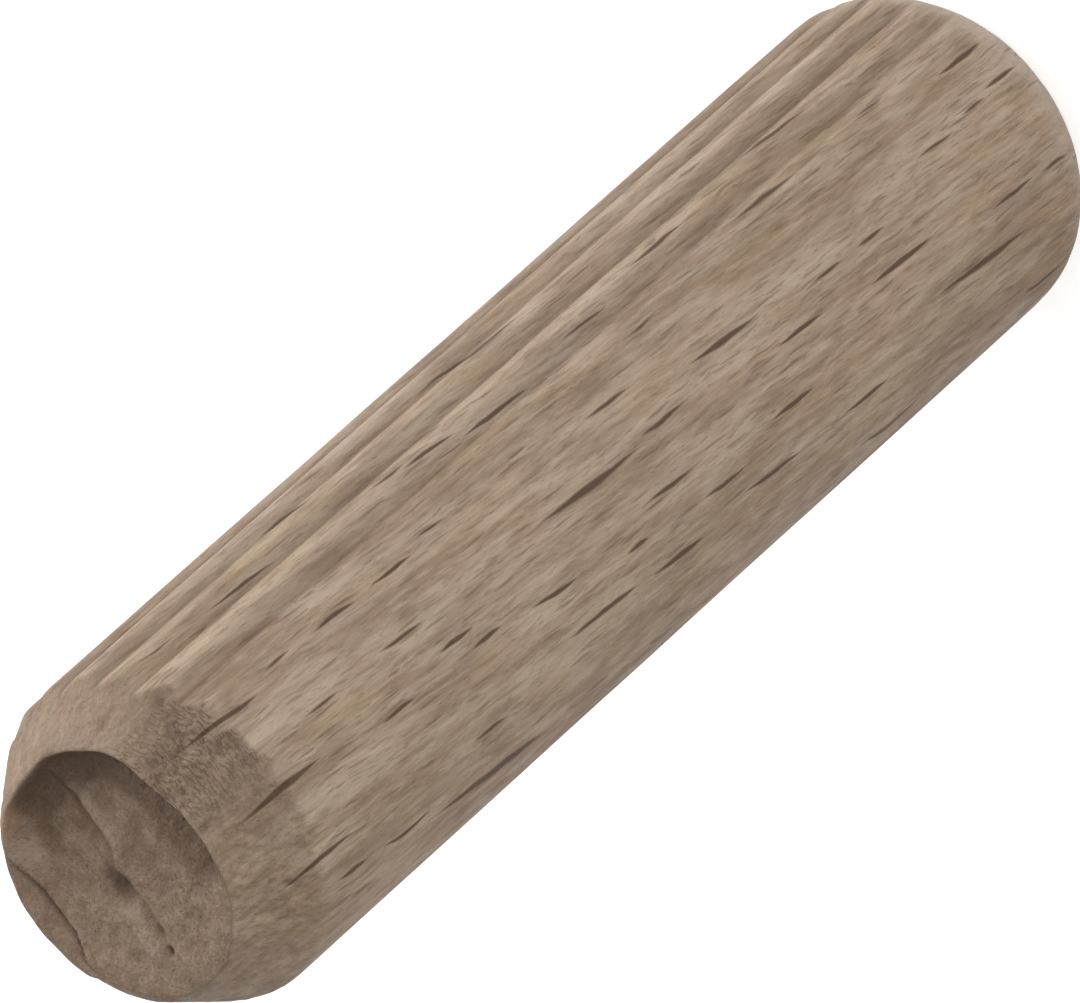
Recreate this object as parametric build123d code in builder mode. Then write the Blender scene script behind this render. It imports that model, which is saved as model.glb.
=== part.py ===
# Dowel pin: one fluted hardwood pin, 10 x 40 mm, with a plain end and a torn end.
# It stands on its plain end. The axis is Z, z = 0 is the plain end, the torn end is on top.
# All sizes are in millimetres.

import os
from math import cos, radians, sin, tan

from build123d import *

os.makedirs("parts", exist_ok=True)

# ---- driving sizes ----
pin_dia = 10.0
pin_length = 40.0

# flutes: straight grooves pressed into one side of the shank only
flute_count = 11
flute_pitch_deg = 15.7
flute_first_deg = 13.5
flute_tool_r = 0.032 * pin_dia
flute_depth = 0.020 * pin_dia

# plain end: a cut bevel that bulges slightly
plain_bevel_r = 0.10 * pin_dia
plain_bevel_z = 0.19 * pin_dia
plain_bulge = 0.015 * pin_dia

# torn end: a wider broken bevel round a flat that is hollowed out
torn_bevel_r = 0.14 * pin_dia
torn_bevel_z = 0.23 * pin_dia
torn_rim = 0.012 * pin_dia

# the hollow is three strips side by side, each with a sloping floor at its own depth;
# every floor is deepest at +X and runs out to nothing towards -X
hollow_depth = 0.105 * pin_dia
hollow_wall_deg = 14.0
hollow_clear = 0.05 * pin_dia
ledge_inner_y = -0.015 * pin_dia
ledge_outer_y = 0.225 * pin_dia
ledge_inner_rise = 0.030 * pin_dia
ledge_outer_rise = 0.080 * pin_dia

# a small pit near the middle of the hollow
pit_dia = 0.085 * pin_dia
pit_depth = 0.050 * pin_dia
pit_x = -0.030 * pin_dia
pit_y = 0.040 * pin_dia

# ---- sizes that follow ----
pin_r = pin_dia / 2
torn_face_r = pin_r - torn_bevel_r
flute_axis_r = pin_r + flute_tool_r - flute_depth
rim_r = torn_face_r - torn_rim
hollow_top = pin_length + hollow_clear
strips = [
    (-torn_face_r, ledge_inner_y, hollow_depth),
    (ledge_inner_y, ledge_outer_y, hollow_depth - ledge_inner_rise),
    (ledge_outer_y, torn_face_r, hollow_depth - ledge_outer_rise),
]

# the material the tear took out of the end: three wedges kept inside a tapering round wall
with BuildPart() as hollow:
    for y_from, y_to, depth in strips:
        with BuildSketch(Plane.XZ.offset(-y_from)):
            with BuildLine():
                Polyline(
                    (-torn_face_r, hollow_top),
                    (-torn_face_r, pin_length),
                    (torn_face_r, pin_length - depth),
                    (torn_face_r, hollow_top),
                    close=True,
                )
            make_face()
        extrude(amount=-(y_to - y_from))
    with BuildSketch(Plane.XY.offset(hollow_top)):
        Circle(rim_r + hollow_clear * tan(radians(hollow_wall_deg)))
    extrude(amount=-(hollow_clear + 2 * hollow_depth), taper=hollow_wall_deg, mode=Mode.INTERSECT)

with BuildPart() as dowel_pin:
    # turned blank with both bevelled ends
    with BuildSketch(Plane.XZ):
        with BuildLine():
            Line((0, 0), (pin_r - plain_bevel_r, 0))
            SagittaArc((pin_r - plain_bevel_r, 0), (pin_r, plain_bevel_z), -plain_bulge)
            Line((pin_r, plain_bevel_z), (pin_r, pin_length - torn_bevel_z))
            Line((pin_r, pin_length - torn_bevel_z), (torn_face_r, pin_length))
            Line((torn_face_r, pin_length), (0, pin_length))
            Line((0, pin_length), (0, 0))
        make_face()
    revolve(axis=Axis.Z)

    # flutes, full length, round the +X side from near -Y to near +Y
    with BuildSketch(Plane.XY):
        for index in range(flute_count):
            turn = radians(flute_first_deg + index * flute_pitch_deg)
            with Locations((flute_axis_r * sin(turn), -flute_axis_r * cos(turn))):
                Circle(flute_tool_r)
    extrude(amount=pin_length, mode=Mode.SUBTRACT)

    # torn hollow
    add(hollow.part, mode=Mode.SUBTRACT)

    # pit in the floor of the hollow
    pit_floor = pin_length - (hollow_depth - ledge_inner_rise) * (pit_x + torn_face_r) / (2 * torn_face_r)
    with Locations((pit_x, pit_y, pit_floor)):
        Cone(0, pit_dia, 2 * pit_depth, mode=Mode.SUBTRACT)

dowel_pin.part.label = "dowel_pin"
export_step(dowel_pin.part, "parts/dowel_pin.step")
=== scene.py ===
# A fluted beech dowel pin, 10 mm across and 40 mm long, standing on its plain end.
# Lengths are metres, +Z runs up the pin to the torn end, and the flutes are on the +X side.

import math

import bpy
import numpy as np
from mathutils import Matrix, Vector, noise


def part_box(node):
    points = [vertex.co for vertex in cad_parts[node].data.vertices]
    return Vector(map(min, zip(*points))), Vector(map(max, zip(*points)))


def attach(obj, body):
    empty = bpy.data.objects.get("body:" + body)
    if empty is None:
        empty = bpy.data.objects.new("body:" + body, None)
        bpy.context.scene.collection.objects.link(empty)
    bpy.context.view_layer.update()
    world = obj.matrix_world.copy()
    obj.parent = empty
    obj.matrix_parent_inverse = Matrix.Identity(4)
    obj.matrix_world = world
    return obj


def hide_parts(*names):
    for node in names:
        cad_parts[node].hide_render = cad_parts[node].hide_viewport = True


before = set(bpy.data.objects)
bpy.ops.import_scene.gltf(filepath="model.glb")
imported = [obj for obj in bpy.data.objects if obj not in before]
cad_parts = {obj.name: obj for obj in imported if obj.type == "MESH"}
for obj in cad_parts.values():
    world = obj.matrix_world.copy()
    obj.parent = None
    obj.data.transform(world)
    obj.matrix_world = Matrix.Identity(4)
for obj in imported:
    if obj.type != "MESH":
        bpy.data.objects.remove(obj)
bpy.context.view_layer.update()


# ---------------------------------------------------------------------------
# Bench, light and camera
# A plain white table top, two big soft windows in a dim even room: one beside the fluted side,
# a little behind it, which rakes across the flutes, and one in front of the pin.
# The camera looks down on the torn end from about forty degrees, rolled to one side.
# ---------------------------------------------------------------------------

low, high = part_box("dowel_pin")
pin_middle = Vector(((low[0] + high[0]) / 2, (low[1] + high[1]) / 2, (low[2] + high[2]) / 2))

camera_height = math.radians(41.84)
camera_roll = math.radians(131.87)
camera_distance = 0.616
camera_lens = 771.7
shift_right = 0.000151
shift_up = 0.000092

view_back = Vector((0, -math.cos(camera_height), math.sin(camera_height)))
view_side = Vector((1, 0, 0))
view_up = view_back.cross(view_side)
right = view_side * math.cos(camera_roll) - view_up * math.sin(camera_roll)
up = view_side * math.sin(camera_roll) + view_up * math.cos(camera_roll)

camera_data = bpy.data.cameras.new("camera")
camera_data.lens = camera_lens
camera_data.sensor_width = 36
camera_data.clip_start = 0.05
camera_data.clip_end = 20
camera = bpy.data.objects.new("camera", camera_data)
place = pin_middle + view_back * camera_distance - right * shift_right - up * shift_up
turn = Matrix((right, up, view_back)).transposed()
camera.matrix_world = Matrix.Translation(place) @ turn.to_4x4()
bpy.context.scene.collection.objects.link(camera)
bpy.context.scene.camera = camera

world = bpy.data.worlds.new("room")
bpy.context.scene.world = world
world.use_nodes = True
room_light = world.node_tree.nodes["Background"]
room_light.inputs["Color"].default_value = (1.0, 0.97, 0.94, 1)
room_light.inputs["Strength"].default_value = 0.46

window_away = 0.5


def soft_window(name, turn, lift, size, energy, colour):
    """A big square lamp aimed at the pin, this many degrees round from -Y and up from level."""
    lamp = bpy.data.lights.new(name, "AREA")
    lamp.shape = "SQUARE"
    lamp.size = size
    lamp.energy = energy
    lamp.color = colour
    window = bpy.data.objects.new(name, lamp)
    level = math.cos(math.radians(lift))
    sideways = math.radians(turn)
    height = math.sin(math.radians(lift))
    toward = Vector((level * math.sin(sideways), -level * math.cos(sideways), height))
    window.location = pin_middle + toward * window_away
    window.rotation_euler = toward.to_track_quat("Z", "Y").to_euler()
    bpy.context.scene.collection.objects.link(window)


soft_window("side_window", 112, 20, 0.30, 1.9, (1.0, 0.99, 0.975))
soft_window("front_window", 4, 18, 0.50, 1.45, (1.0, 0.985, 0.965))

table_mesh = bpy.data.meshes.new("table_top")
half = 0.6
just_under = 0.00002
corners = [(-half, -half, 0), (half, -half, 0), (half, half, 0), (-half, half, 0)]
table_mesh.from_pydata(corners, [], [(0, 1, 2, 3)])
table = bpy.data.objects.new("table_top", table_mesh)
table.location.z = low[2] - just_under
bpy.context.scene.collection.objects.link(table)


class Shade:
    """A value in a material: arithmetic on it adds Math nodes, node() adds any other."""

    def __init__(self, tree, socket=None):
        self.tree = tree
        self.socket = socket

    def node(self, kind, settings, inputs, output=0):
        made = self.tree.nodes.new(kind)
        for name, value in settings.items():
            setattr(made, name, value)
        for name, value in inputs.items():
            if isinstance(value, Shade):
                self.tree.links.new(value.socket, made.inputs[name])
            else:
                made.inputs[name].default_value = value
        return Shade(self.tree, made.outputs[output])

    def math(self, operation, *values):
        return self.node("ShaderNodeMath", {"operation": operation}, dict(enumerate(values)))

    def __add__(self, other):
        return self.math("ADD", self, other)

    def __radd__(self, other):
        return self.math("ADD", other, self)

    def __sub__(self, other):
        return self.math("SUBTRACT", self, other)

    def __rsub__(self, other):
        return self.math("SUBTRACT", other, self)

    def __mul__(self, other):
        return self.math("MULTIPLY", self, other)

    def __rmul__(self, other):
        return self.math("MULTIPLY", other, self)

    def __truediv__(self, other):
        return self.math("DIVIDE", self, other)

    def __pow__(self, other):
        return self.math("POWER", self, other)

    def __abs__(self):
        return self.math("ABSOLUTE", self)

    def most(self, other):
        return self.math("MAXIMUM", self, other)

    def step(self, start, end):
        """0 below start, 1 above end, smooth between."""
        return self.node(
            "ShaderNodeMapRange",
            {"interpolation_type": "SMOOTHSTEP"},
            {"Value": self, "From Min": start, "From Max": end},
        )

    def blend(self, first, second):
        """The colour first where this is 0, second where it is 1."""
        first = first if isinstance(first, Shade) else (*first, 1)
        second = second if isinstance(second, Shade) else (*second, 1)
        return self.node("ShaderNodeMix", {"data_type": "RGBA"}, {0: self, 6: first, 7: second}, 2)


def new_material(name):
    material = bpy.data.materials.new(name)
    material.use_nodes = True
    return material, material.node_tree.nodes["Principled BSDF"]


table_paint, table_shader = new_material("white_table")
white = Shade(table_paint.node_tree)
seen = white.node("ShaderNodeLightPath", {}, {}, "Is Camera Ray")
glossy = white.node("ShaderNodeLightPath", {}, {}, "Is Glossy Ray")
through = white.node("ShaderNodeLightPath", {}, {}, "Is Transmission Ray")
table_shader.inputs["Base Color"].default_value = (0.80, 0.80, 0.80, 1)
table_shader.inputs["Roughness"].default_value = 0.9
table_shader.inputs["Emission Strength"].default_value = 1.0
glow = seen.most(glossy).most(through).blend((0, 0, 0), (0.62, 0.62, 0.62))
table_paint.node_tree.links.new(glow.socket, table_shader.inputs["Emission Color"])
table_mesh.materials.append(table_paint)


# ---------------------------------------------------------------------------
# The dowel pin
# One length of bare beech, turned round, with straight flutes pressed into one side. The lower
# end is sawn and bevelled. The upper end has broken away, which left a wide ragged bevel and a
# shallow hollow whose floor steps down along the growth rings.
# ---------------------------------------------------------------------------

# millimetres from here on, turned into metres when the mesh is made
pin_r = (high[0] - low[0]) / 2 * 1000
pin_length = (high[2] - low[2]) * 1000

sides = 400
flute_pitch = math.radians(15.7)
flute_first = math.radians(13.5)
flute_count = 11
flute_depth = 0.21
flute_nose = 0.03
worn_down = 0.012

plain_bevel_r = 1.0
plain_bevel_z = 1.9
plain_bulge = 0.85
torn_bevel_r = 1.4
torn_bevel_z = 2.28
torn_face_r = pin_r - torn_bevel_r

# the broken end: how much wider or narrower its face is here and there, how far the facet
# stands out, and where the facet's edge starts and how far it leans over the bevel's height
through_wider = 0.17
full_wider = 0.15
far_left_trimmed = 0.17
facet_out = 0.10
facet_turn = math.radians(19)
facet_lean = math.radians(19)


def rise(value, start, end):
    part = np.clip((value - start) / (end - start), 0, 1)
    return part * part * (3 - 2 * part)


def soft_patch(x, y, middle, reach, flat=(2, 2)):
    """1 at the middle, gone a little past this reach each way, flatter inside where flat is 4."""
    part_x = ((x - middle[0]) / reach[0]) ** flat[0]
    part_y = ((y - middle[1]) / reach[1]) ** flat[1]
    return np.exp(-part_x - part_y)


def softer_least(a, b, width):
    return 0.5 * (a + b - np.sqrt((a - b) ** 2 + width**2))


def grit(x, y, z, size, layers=3):
    """Fractal noise at the points, about -1 to 1, with lumps of about this size."""
    flat = np.stack([np.ravel(x), np.ravel(y), np.ravel(z)], axis=1) / size
    found = [noise.fractal(Vector(point), 1.0, 2.0, layers) for point in flat]
    return np.array(found).reshape(np.shape(x))


# turn: 0 faces -Y, a quarter turn faces +X
turns = np.arange(sides) / sides * 2 * math.pi - math.pi


def shank_radius(turn, z):
    """The turned stick with its flutes, fading out at both edges of the fluted side."""
    flute = (turn - flute_first) / flute_pitch
    fade = rise(flute, -1.2, 1.6) * (1 - rise(flute, flute_count - 2.4, flute_count - 0.4))
    across_crest = 2 * (flute - np.floor(flute)) - 1
    crest = 1 - np.sqrt(across_crest**4 + flute_nose**2)
    wander = 0.02 * np.sin(z * 0.21 + 3 * turn) + 0.012 * np.sin(z * 0.53 + 7 * turn)
    return pin_r - fade * flute_depth * (1 - crest) - worn_down - 0.4 * np.abs(wander)


def rim_radius(turn):
    """The torn face's outline: fuller on the +Y side, trimmed on the far left."""
    trim = rise(turn, -2.80, -2.65) * (1 - rise(turn, -2.4, -1.4))
    ragged = 0.015 * np.sin(turn * 9 + 1) + 0.010 * np.sin(turn * 23)
    return torn_face_r + broken_through(turn) + full_side(turn) - far_left_trimmed * trim + ragged


def broken_through(turn):
    """How much wider the face is where the hollow breaks out through the bevel."""
    return through_wider * rise(turn, 0.25, 0.85) * (1 - rise(turn, 1.30, 1.75))


def full_side(turn):
    """How much fuller the broken end is towards +Y."""
    return full_wider * rise(np.abs(turn), 1.5, 2.3)


def rim_height(turn):
    return pin_length - broken_through(turn) * torn_bevel_z / torn_bevel_r


def facet_edge(down):
    """The turn at which the facet's broken edge stands, this part of the way down the bevel."""
    return facet_turn + facet_lean * down + 0.05 * np.sin(down * 9)


def facet_here(turn, down):
    """1 on the raised streaky facet of the bevel, 0 on the ragged part beside its edge."""
    edge = facet_edge(down)
    return rise(turn, edge - 0.05, edge + 0.02) * (1 - rise(turn, 2.0, 2.6))


def bevel_radius(turn, z, x, y):
    """The broken bevel: lumpy all over, and pitted where the wood pulled out."""
    down = (pin_length - z) / torn_bevel_z
    facet = facet_here(turn, down)
    rough = rise(turn, np.radians(-75), np.radians(-30)) * (1 - facet)
    lumps = grit(x, y, z, 0.42)
    fine = grit(x, y, z * 0.45, 0.12, 2)
    pulled = np.minimum(grit(x + 9, y, z, 0.25, 2) + 0.15, 0)
    ragged = (0.045 + 0.045 * rough) * lumps + (0.014 + 0.03 * rough) * fine
    ragged += (0.05 + 0.16 * rough) * pulled
    ragged *= 1 - 0.7 * rise(np.abs(turn), 1.5, 2.3)
    full = full_side(turn) * (1 - 0.5 * down)
    return torn_face_r + down * torn_bevel_r + full + facet_out * facet - 0.02 + ragged


def step_edges(x):
    """Where the two growth-ring steps cross the torn floor, as distances along Y."""
    outer = 2.72 + 0.20 * rise(-x, -2.4, -0.6) + 0.30 * rise(-x, -0.2, 1.6)
    inner = 0.12 + 0.55 * rise(-x, -0.9, 0.1)
    return outer + 0.02 * np.sin(x * 4.1), inner + 0.02 * np.sin(x * 4.3)


def pale_ridge(x, y):
    """1 on the pale splinter that stands up from the floor."""
    return soft_patch(x, y, (-1.60, 0.98), (0.80, 0.34), (4, 4))


def face_depth(x, y, turn, inward):
    """How far the torn floor lies below the end, the ring steps on it, and where its wall is."""
    floor = 1.04 - 0.17 * np.sqrt((x - 2.7) ** 2 + 0.36 * (y + 0.8) ** 2)
    floor = np.maximum(floor, 0.04)

    # two steps where the break followed a growth ring, each high on its -Y side
    outer, inner = step_edges(x)
    inner_height = 0.07 + 0.17 * rise(x, -0.4, 1.0)
    ring_steps = ((outer, 0.30, 0.50, 0.55, 0.07), (inner, inner_height, 0.40, 0.50, 0.18))
    steps_down = np.zeros_like(x)
    for edge, height, near, far, soft in ring_steps:
        gap = edge - y
        above = rise(gap, -soft - 0.03, soft - 0.03)
        steps_down -= height * above * 0.5 * np.exp(-np.maximum(gap, 0) / near)
        steps_down += height * (1 - above) * 0.5 * np.exp(np.minimum(gap, 0) / far)

    # a pit, a crack along the raised splinter, a small hole at its end and a crack beyond that
    floor += 0.36 * soft_patch(x, y, (-0.25, 0.86), (0.44, 0.42))
    floor += 0.14 * soft_patch(x, y, (-1.35, 0.52), (0.75, 0.16), (4, 2))
    floor += 0.30 * soft_patch(x, y, (-2.29, 0.62), (0.11, 0.11))
    floor += 0.05 * soft_patch(x, y, (-3.0, 0.42), (0.55, 0.08), (4, 2))
    floor -= 0.14 * pale_ridge(x, y)

    level = np.zeros_like(x)
    coarse = grit(x, y, level, 0.70)
    lumps = grit(x, y, level + 5, 0.28, 2)
    fine = grit(x, y, level + 3, 0.13, 2)
    rough = 0.5 + rise(-x, 0.9, 1.6) * (1 - rise(np.abs(y + 1.3), 0.5, 1.2))
    floor += 0.06 * coarse + 0.025 * lumps + 0.03 * rough * fine

    # a sharp wall on the +X and -Y sides, running out gently elsewhere
    steep = rise(turn, -0.75, -0.35) * (1 - rise(turn, 1.80, 2.3))
    wall = rise(inward, 0.02, 1.1 - 0.78 * steep)
    return floor, steps_down * rise(inward, 0.0, 0.35), wall, steep


# side of the pin: rings of points from the plain end up to the torn rim
low_rows = np.linspace(0, 1, 13)[:-1] * plain_bevel_z
torn_start = 36.8
shank_rows = np.linspace(plain_bevel_z, torn_start, 117)[:-1]
torn_rows = np.linspace(0, 1, 44)
rim_r = rim_radius(turns)
rim_z = rim_height(turns)

heights = [np.full(sides, z) for z in low_rows]
heights += [np.full(sides, z) for z in shank_rows]
heights += [torn_start + (rim_z - torn_start) * part for part in torn_rows]
heights = np.array(heights)
turn_grid = np.broadcast_to(turns, heights.shape)

shank = shank_radius(turn_grid, heights)
x_grid = shank * np.sin(turn_grid)
y_grid = -shank * np.cos(turn_grid)
torn = bevel_radius(turn_grid, heights, x_grid, y_grid)
up_bevel = np.clip(heights / plain_bevel_z, 0, 3)
plain = pin_r - plain_bevel_r * (1 - up_bevel)
plain += plain_bulge * np.clip(up_bevel * (1 - up_bevel), 0, 1)
plain -= 0.10 * np.exp(-heights / 0.12)
plain += 0.015 * grit(x_grid, y_grid, heights, 0.5)
clear_of_pin = 99
plain[heights > 3] = clear_of_pin
torn[heights < 33] = clear_of_pin
radius = softer_least(shank, torn, 0.05)
radius = softer_least(radius, plain, 0.06)
radius = np.minimum(radius, pin_r)
radius[-1] = rim_r
radius[-2] = 0.5 * (radius[-2] + rim_r)
side_torn = rise(shank - torn, -0.03, 0.12)
side_points = np.stack([radius * np.sin(turn_grid), -radius * np.cos(turn_grid), heights], axis=-1)

# ends: a square net of points pressed out to a disc, whose edge is the last ring
cells = sides // 4
steps = np.arange(cells + 1) / cells * 2 - 1
net_a, net_b = np.meshgrid(steps, steps, indexing="ij")
part_out = np.maximum(np.abs(net_a), np.abs(net_b))
wide_net = np.abs(net_a) >= np.abs(net_b)
longer = np.where(wide_net, net_a, net_b)
shorter = np.where(wide_net, net_b, net_a)
share = shorter / np.where(longer == 0, 1, longer)
angle = np.where(wide_net, math.pi / 4 * share, math.pi / 2 - math.pi / 4 * share)
flip = np.where(wide_net, net_a < 0, net_b < 0)
angle = np.where(flip, angle + math.pi, angle)
disc_turn = (angle + math.pi) % (2 * math.pi) - math.pi

disc_rim = rim_radius(disc_turn)
disc_r = part_out * disc_rim
disc_x = disc_r * np.sin(disc_turn)
disc_y = -disc_r * np.cos(disc_turn)
inward = disc_rim - disc_r
floor, steps_down, wall, steep = face_depth(disc_x, disc_y, disc_turn, inward)
edge_drop = pin_length - rim_height(disc_turn)
fall = edge_drop * (1 - wall) + np.maximum(floor, 0.02) * wall + steps_down
disc_z = pin_length - np.maximum(fall, 0)

base_r = radius[0]
base_part = np.interp(disc_turn, turns, base_r, period=2 * math.pi) * part_out
saw = 0.012 * np.sin(base_part * np.sin(disc_turn + 0.4) * 9) * (1 - part_out**6)
base_z = 0.015 * (1 - part_out**8) + np.abs(saw)

points = list(side_points.reshape(-1, 3))
rows = len(heights)
faces = []
for row in range(rows - 1):
    for column in range(sides):
        after = (column + 1) % sides
        first = row * sides
        faces.append((first + column, first + after, first + sides + after, first + sides + column))


def cap(x, y, z, ring_start, upward):
    """Adds an end net, sewn to the ring of points that starts at ring_start."""
    numbers = np.zeros(x.shape, dtype=int)
    last = cells
    for i in range(last + 1):
        for j in range(last + 1):
            if i in (0, last) or j in (0, last):
                spot = (disc_turn[i, j] + math.pi) / (2 * math.pi) * sides
                numbers[i, j] = ring_start + int(round(spot)) % sides
            else:
                numbers[i, j] = len(points)
                points.append((x[i, j], y[i, j], z[i, j]))
    for i in range(last):
        for j in range(last):
            loop = (numbers[i, j], numbers[i + 1, j], numbers[i + 1, j + 1], numbers[i, j + 1])
            faces.append(loop if upward else loop[::-1])


torn_first = len(points)
cap(disc_x, disc_y, disc_z, (rows - 1) * sides, True)
base_first = len(points)
cap(base_part * np.sin(disc_turn), -base_part * np.cos(disc_turn), base_z, 0, False)

pin_mesh = bpy.data.meshes.new("beech_dowel")
pin_mesh.from_pydata([tuple(p / 1000 for p in point) for point in points], [], faces)
pin_mesh.validate()
pin_mesh.polygons.foreach_set("use_smooth", [True] * len(pin_mesh.polygons))

# Four values kept on the points for the wood's colour: broken where it is torn, painted shade
# in hollows, under edges and along the flutes, pale where fibres were lifted clean and painted
# highlight on lit edges, warm where it is stained.
side_count = rows * sides
broken, painted_shade, pale_and_lit, warm = np.zeros((4, len(points)))
near_top = heights > 36
patchy = rise(grit(x_grid * near_top, y_grid * near_top, heights * 0.4, 0.5, 2), -0.35, 0.35)
down = (pin_length - heights) / torn_bevel_z
facet = facet_here(turn_grid, down)
fibres_show = rise(-turn_grid, -0.05, 0.55) * (1 - 0.35 * patchy) + 0.35 * facet
broken[:side_count] = (side_torn * (1 - 0.8 * np.clip(fibres_show, 0, 1))).ravel()
broken[torn_first:base_first] = 1

# the sides: painted shade in the flute bottoms, on the flank of each that faces away from the side
# window, under the facet's edge, on the facet and over the bevel beside it
flute_bottoms = rise(pin_r - shank, 0.45 * flute_depth, 1.0 * flute_depth) * (1 - side_torn)
flute = (turn_grid - flute_first) / flute_pitch
past_valley = flute - np.floor(flute)
fluted = rise(flute, -0.3, 0.9) * (1 - rise(flute, flute_count - 1.4, flute_count - 0.4))
# painted shade on the flank of each flute that faces away from the side window
shaded_flank = (1 - rise(past_valley, 0.25, 0.75)) * fluted * (1 - side_torn) * rise(heights, 0.6, 2.4)
past_edge = turn_grid - facet_edge(down)
# painted shadow under the facet's raised edge, and painted shade on the facet and the ragged bevel
under_edge = np.exp(-(((past_edge + 0.07) / 0.07) ** 2)) * side_torn
shaded = side_torn * facet * (0.16 + 0.34 * np.exp(-np.maximum(past_edge, 0) / 0.35))
shaded += 0.22 * side_torn * rise(-turn_grid, 0.05, 0.35) * (1 - rise(-turn_grid, 0.8, 1.2))
painted_shade[:side_count] = (0.20 * flute_bottoms + 0.42 * shaded_flank + 0.42 * under_edge + shaded).ravel()

# painted highlight along the lit top edge of the bevel; paler torn wood on the -X side
side_lip = (1 - rise(down, 0.01, 0.05)) * rise(turn_grid, -0.6, -0.3)
side_lip *= 1 - rise(turn_grid, 1.8, 2.2)
side_pale = (0.5 * side_lip + 0.6 * rise(-turn_grid, 1.0, 1.5)) * side_torn
pale_and_lit[:side_count] = side_pale.ravel()
side_warm = 0.35 * facet * rise(turn_grid, 0.9, 1.2) * patchy * side_torn
warm[:side_count] = side_warm.ravel()

# the torn floor: painted shade where it lies lower than its surroundings, deep down, under the
# rim and along the outer ring step; paler on the splinter, and painted highlight on the lip and
# beside the inner step
inside = (slice(1, -1), slice(1, -1))
smoothings = 70
around = disc_z.copy()
for _ in range(smoothings):
    beside = around[:-2, 1:-1] + around[2:, 1:-1] + around[1:-1, :-2] + around[1:-1, 2:]
    around[inside] = 0.25 * beside
outer, inner = step_edges(disc_x)
# painted shade: wider under the rim on the -Y side, and a band along the outer ring step
under_rim = 0.85 * np.maximum(np.cos(disc_turn), 0)
under_step = np.exp(-(((disc_y - outer - 0.07) / 0.11) ** 2)) * rise(inward, 0.0, 0.25)
corner = 0.8 * soft_patch(disc_x, disc_y, (2.1, 2.35), (0.5, 0.4))
# painted shade in the hollow's low spots, deep down and under its rim
shut_in = np.clip((around - disc_z) * 4, -1, 1) + 0.30 * rise(pin_length - disc_z, 0.35, 1.1)
shut_in += 1.0 * steep * (1 - rise(inward - under_rim, 0.25, 1.35))
shut_in += 0.48 * soft_patch(disc_x, disc_y, (0, -0.4), (1.5, 1.5))
shut_in += 0.55 * under_step - corner
painted_shade[torn_first:base_first] = shut_in[inside].ravel()

# painted highlight on the high edge of the inner step and on the rim's lip; the splinter is pale
# wood
streak = np.exp(-(((disc_y - inner + 0.32) / 0.30) ** 2))
streak *= rise(disc_x, 0.2, 0.8) * (1 - rise(disc_x, 2.2, 2.9))
lip = steep * (1 - rise(inward, 0.03, 0.12))
disc_pale = 0.5 * streak + 0.35 * pale_ridge(disc_x, disc_y) + corner + 0.9 * lip
pale_and_lit[torn_first:base_first] = np.clip(disc_pale, 0, 1)[inside].ravel()
disc_warm = soft_patch(disc_x, disc_y, (3.15, 1.7), (0.35, 0.5))
warm[torn_first:base_first] = disc_warm[inside].ravel()

for name, values in (("broken", broken), ("painted_shade", painted_shade), ("pale_and_lit", pale_and_lit), ("warm", warm)):
    pin_mesh.attributes.new(name, "FLOAT", "POINT").data.foreach_set("value", values)

pin = bpy.data.objects.new("dowel_pin_wood", pin_mesh)
bpy.context.scene.collection.objects.link(pin)

# Its wood is bare steamed beech. Its rays run through it along Y and show as short dark flecks
# on the sides that face -Y and +Y. The grain leans three degrees from the axis. Torn end grain
# is darker, greyer and full of open pores.

beech, beech_shader = new_material("bare_beech")
wood = Shade(beech.node_tree)
lean = math.radians(3.2)

spot = wood.node("ShaderNodeTexCoord", {}, {}, "Object")
spot = wood.node("ShaderNodeVectorMath", {"operation": "SCALE"}, {"Vector": spot, "Scale": 1000.0})
axes = {"Vector": spot}  # millimetres
x = wood.node("ShaderNodeSeparateXYZ", {}, axes, "X")
y = wood.node("ShaderNodeSeparateXYZ", {}, axes, "Y")
z = wood.node("ShaderNodeSeparateXYZ", {}, axes, "Z")
along = x * math.sin(lean) + z * math.cos(lean)
across = x * math.cos(lean) - z * math.sin(lean)


def place_at(sx, sy, sz, shift=0.0):
    """The wood's own coordinates, one unit being these lengths across, through and along it."""
    return wood.node("ShaderNodeCombineXYZ", {}, {0: across / sx + shift, 1: y / sy, 2: along / sz})


def cloud(sx, sy, sz, shift=0.0, detail=2.0, rough=0.5):
    settings = {"noise_dimensions": "3D"}
    inputs = {"Vector": place_at(sx, sy, sz, shift), "Scale": 1.0}
    inputs |= {"Detail": detail, "Roughness": rough}
    return wood.node("ShaderNodeTexNoise", settings, inputs, 0)


def rays(sx, sy, sz, half_wide, half_long, share, shift):
    """Lens-shaped rays, one in each cell of wood for this share of the cells."""
    grid = place_at(sx, sy, sz, shift)
    inputs = {"Vector": grid, "Scale": 1.0, "Randomness": 1.0}
    found = wood.node("ShaderNodeTexVoronoi", {"feature": "F1"}, inputs, "Position")
    settings = {"noise_dimensions": "3D"}
    chance = wood.node("ShaderNodeTexWhiteNoise", settings, {"Vector": found}, "Value")
    away = wood.node("ShaderNodeVectorMath", {"operation": "SUBTRACT"}, {0: grid, 1: found})
    off = wood.node("ShaderNodeSeparateXYZ", {}, {"Vector": away}, "X")
    far = wood.node("ShaderNodeSeparateXYZ", {}, {"Vector": away}, "Z")
    lens = 1 - abs(off * (sx / half_wide)) - (far * (sz / half_long)) ** 2
    return lens.step(0.0, 0.6) * chance.step(1 - share - 0.02, 1 - share + 0.02)


# the grain wanders slowly, with a quicker small wave on top
slow_wave = cloud(1.6, 1.6, 5.0, 4.0) - 0.5
quick_wave = cloud(0.6, 2.0, 1.2, 6.0, 1.0) - 0.5
across = across + slow_wave * 0.22 + quick_wave * 0.12

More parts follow.
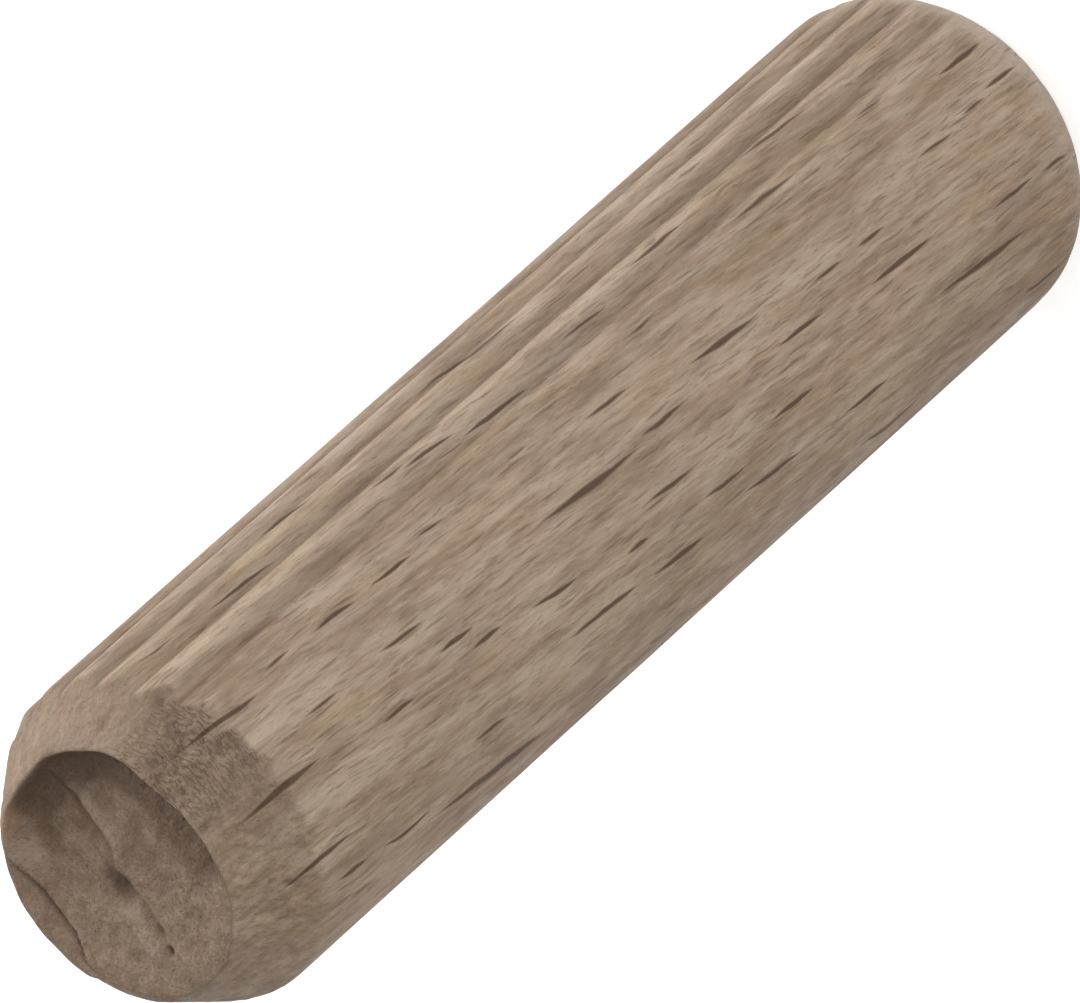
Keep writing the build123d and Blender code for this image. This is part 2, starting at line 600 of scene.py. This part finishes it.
# the broad rays of the side that faces -Y: height up the pin, turn from -Y, length, strength
front_rays = [
    (29.5, 57, 2.0, 0.7), (21.0, 57, 4.0, 0.8), (33.0, 46, 2.6, 0.9), (36.5, 50, 1.6, 0.5),
    (27.0, 39, 1.4, 0.7), (25.5, 36, 2.0, 0.9), (23.0, 31, 2.8, 1.0), (18.5, 34, 2.0, 0.7),
    (14.5, 38, 2.4, 0.9), (8.5, 40, 2.6, 0.8), (11.0, 25, 2.9, 0.7), (6.0, 24, 1.4, 0.5),
    (2.5, 16, 2.0, 0.9), (37.6, 15, 2.6, 0.9), (35.0, 18, 1.2, 0.6), (32.5, 16, 1.8, 0.8),
    (30.0, 15, 1.8, 0.8), (28.0, 17, 1.1, 0.6), (24.0, 16, 1.0, 0.4), (20.5, 9, 2.0, 0.7),
    (17.5, 20, 1.2, 0.5), (16.0, 0, 2.9, 0.9), (5.5, 1, 1.8, 0.6), (3.5, 2, 1.1, 0.6),
    (2.0, 3, 1.6, 0.8), (35.0, -1, 1.4, 0.6), (31.5, -2, 1.9, 0.7), (23.0, -6, 4.4, 0.9),
    (19.5, -6, 2.0, 0.8), (11.5, -6, 1.4, 0.6), (9.5, -7, 1.3, 0.7), (37.8, -12, 3.1, 1.0),
    (30.0, -14, 1.5, 0.9), (33.0, -18, 1.5, 0.8), (29.0, -20, 1.3, 0.9), (13.5, -14, 2.1, 0.8),
    (9.0, -19, 2.8, 1.0), (26.0, -24, 1.9, 0.9), (20.5, -23, 2.0, 0.8), (22.5, -31, 1.0, 0.8),
    (18.5, -35, 2.0, 0.8), (15.0, -30, 2.0, 0.9), (4.0, -27, 2.0, 0.8), (2.0, -29, 1.3, 0.6),
    (37.5, -38, 2.6, 0.8), (24.5, -41, 3.2, 0.9), (21.0, -44, 2.3, 1.0), (16.5, -45, 2.7, 1.0),
    (12.0, -47, 2.2, 1.0), (6.0, -39, 4.3, 0.9), (30.0, -45, 1.6, 0.7), (36.5, -50, 1.4, 0.9),
    (34.0, -53, 2.2, 0.9), (30.0, -62, 5.2, 1.0), (21.5, -73, 1.4, 0.9), (10.5, -69, 3.0, 0.8),
    (3.0, -65, 2.0, 0.8),
]
front_lens = None
for ray_height, ray_turn, ray_long, strength in front_rays:
    ray_x = pin_r * math.sin(math.radians(ray_turn))
    ray_across = ray_x * math.cos(lean) - ray_height * math.sin(lean)
    ray_along = ray_x * math.sin(lean) + ray_height * math.cos(lean)
    half_wide = (0.068 + 0.014 * ray_long) * max(math.cos(math.radians(ray_turn)), 0.60)
    off = (across - ray_across) * (1 / half_wide)
    far = (along - ray_along) * (1.7 / ray_long)
    lens = (1 - abs(off) - far * far) * strength
    front_lens = lens if front_lens is None else front_lens.most(lens)

# the sides that face X cut along the rays, which fade out there
front = (0 - y).step(0.9, 1.9)
back = y.step(0.9, 2.4)
back_rays = rays(0.80, 14.0, 3.8, 0.12, 1.25, 0.34, 0.0) * back
broad_rays = front_lens.step(0.0, 0.55) * front
broad_rays = broad_rays.most(back_rays)
small_rays = rays(0.30, 9.0, 1.9, 0.050, 0.65, 0.40, 7.3) * abs(y).step(0.7, 2.0)

fibres = cloud(0.13, 0.36, 1.5, 2.0, 3.0, 0.6)
fine_fibres = cloud(0.055, 0.055, 0.60, 9.0, 2.0, 0.6)
pores = cloud(0.075, 0.075, 0.50, 5.0, 1.0)
streaks = cloud(0.40, 0.80, 3.6, 27.0, 2.0, 0.5)
patches = cloud(1.3, 1.6, 8.0, 1.0, 2.0)
orange_patches = cloud(0.9, 1.2, 6.0, 13.0, 2.0)
grey_patches = cloud(0.7, 0.9, 3.5, 21.0, 2.0)
mottle = cloud(0.45, 0.45, 0.60, 31.0, 3.0, 0.6)
speckle = cloud(0.12, 0.12, 0.16, 3.0, 2.0, 0.6)
open_pores = cloud(0.085, 0.085, 0.20, 17.0, 1.0)
cross_ridges = cloud(0.21, 0.21, 0.050, 41.0, 0.0)

broken_here = wood.node("ShaderNodeAttribute", {"attribute_name": "broken"}, {}, "Fac")
painted_shade_here = wood.node("ShaderNodeAttribute", {"attribute_name": "painted_shade"}, {}, "Fac")
pale_and_lit_here = wood.node("ShaderNodeAttribute", {"attribute_name": "pale_and_lit"}, {}, "Fac")
warm_here = wood.node("ShaderNodeAttribute", {"attribute_name": "warm"}, {}, "Fac")
whole = 1 - broken_here
low_end = 1 - z.step(0.4, 2.0)

colour = patches.step(0.35, 0.65).blend((0.315, 0.232, 0.165), (0.410, 0.318, 0.236))
colour = (orange_patches.step(0.50, 0.68) * 0.42).blend(colour, (0.365, 0.245, 0.145))
colour = (grey_patches.step(0.55, 0.70) * 0.50).blend(colour, (0.430, 0.350, 0.278))
colour = (streaks.step(0.50, 0.66) * 0.42).blend(colour, (0.235, 0.164, 0.113))
colour = ((1 - streaks).step(0.52, 0.68) * 0.38).blend(colour, (0.510, 0.415, 0.325))
colour = (fibres.step(0.50, 0.66) * 0.50).blend(colour, (0.205, 0.139, 0.094))
colour = ((1 - fibres).step(0.52, 0.68) * 0.36).blend(colour, (0.530, 0.430, 0.335))
colour = (fine_fibres.step(0.50, 0.66) * 0.18).blend(colour, (0.200, 0.136, 0.092))
colour = ((1 - fine_fibres).step(0.54, 0.70) * 0.12).blend(colour, (0.540, 0.440, 0.345))
colour = (pores.step(0.62, 0.72) * 0.26).blend(colour, (0.150, 0.098, 0.064))
colour = (low_end * 0.65).blend(colour, (0.570, 0.495, 0.420))
colour = (small_rays * whole * 0.45).blend(colour, (0.120, 0.075, 0.048))

# short cross ridges, left where fibres snapped beside the facet
ridged = (0 - y).step(1.6, 2.6) * x.step(-0.8, 0.6) * (1 - x.step(2.2, 3.0))
torn_tone = mottle.step(0.34, 0.66).blend((0.200, 0.136, 0.094), (0.275, 0.201, 0.146))
torn_tone = (speckle.step(0.42, 0.66) * 0.42).blend(torn_tone, (0.165, 0.113, 0.078))
torn_tone = ((1 - speckle).step(0.54, 0.70) * 0.34).blend(torn_tone, (0.380, 0.298, 0.230))
torn_tone = (warm_here * 0.60).blend(torn_tone, (0.310, 0.175, 0.105))
# the pale splinter and lifted fibres, with painted highlight on the lit lip and step edge
torn_tone = (pale_and_lit_here * 0.60).blend(torn_tone, (0.440, 0.360, 0.300))
torn_tone = (open_pores.step(0.64, 0.72) * 0.38).blend(torn_tone, (0.080, 0.050, 0.033))
torn_tone = (cross_ridges.step(0.54, 0.68) * ridged * 0.66).blend(torn_tone, (0.100, 0.066, 0.046))
colour = (broken_here * 0.85).blend(colour, torn_tone)
colour = (broad_rays * (1 - z.step(38.6, 39.4)) * 0.95).blend(colour, (0.085, 0.050, 0.030))
# painted shade: dark brown laid over the hollows, flute bottoms, shaded flanks and under the
# facet's edge
colour = (painted_shade_here.step(0.05, 1.0) * 0.66).blend(colour, (0.085, 0.050, 0.032))

links = beech.node_tree.links
links.new(colour.socket, beech_shader.inputs["Base Color"])
links.new((0.62 + fibres * 0.2).socket, beech_shader.inputs["Roughness"])
beech_shader.inputs["Specular IOR Level"].default_value = 0.3

grain = fibres * 0.45 + fine_fibres * 0.40 - pores.step(0.62, 0.72) * 0.3
snapped = speckle * 0.9 + mottle * 1.2 - open_pores.step(0.64, 0.72) * 0.6
snapped = snapped - cross_ridges.step(0.54, 0.66) * ridged
height = grain * whole + snapped * broken_here
relief = wood.node(
    "ShaderNodeBump", {}, {"Strength": 0.55, "Distance": 0.00009, "Height": height}, "Normal"
)
links.new(relief.socket, beech_shader.inputs["Normal"])

pin_mesh.materials.append(beech)
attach(pin, "root")
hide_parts("dowel_pin")


# ---------------------------------------------------------------------------
# Finish
# Colours are shown plain.
# ---------------------------------------------------------------------------

bpy.context.scene.view_settings.view_transform = "Standard"
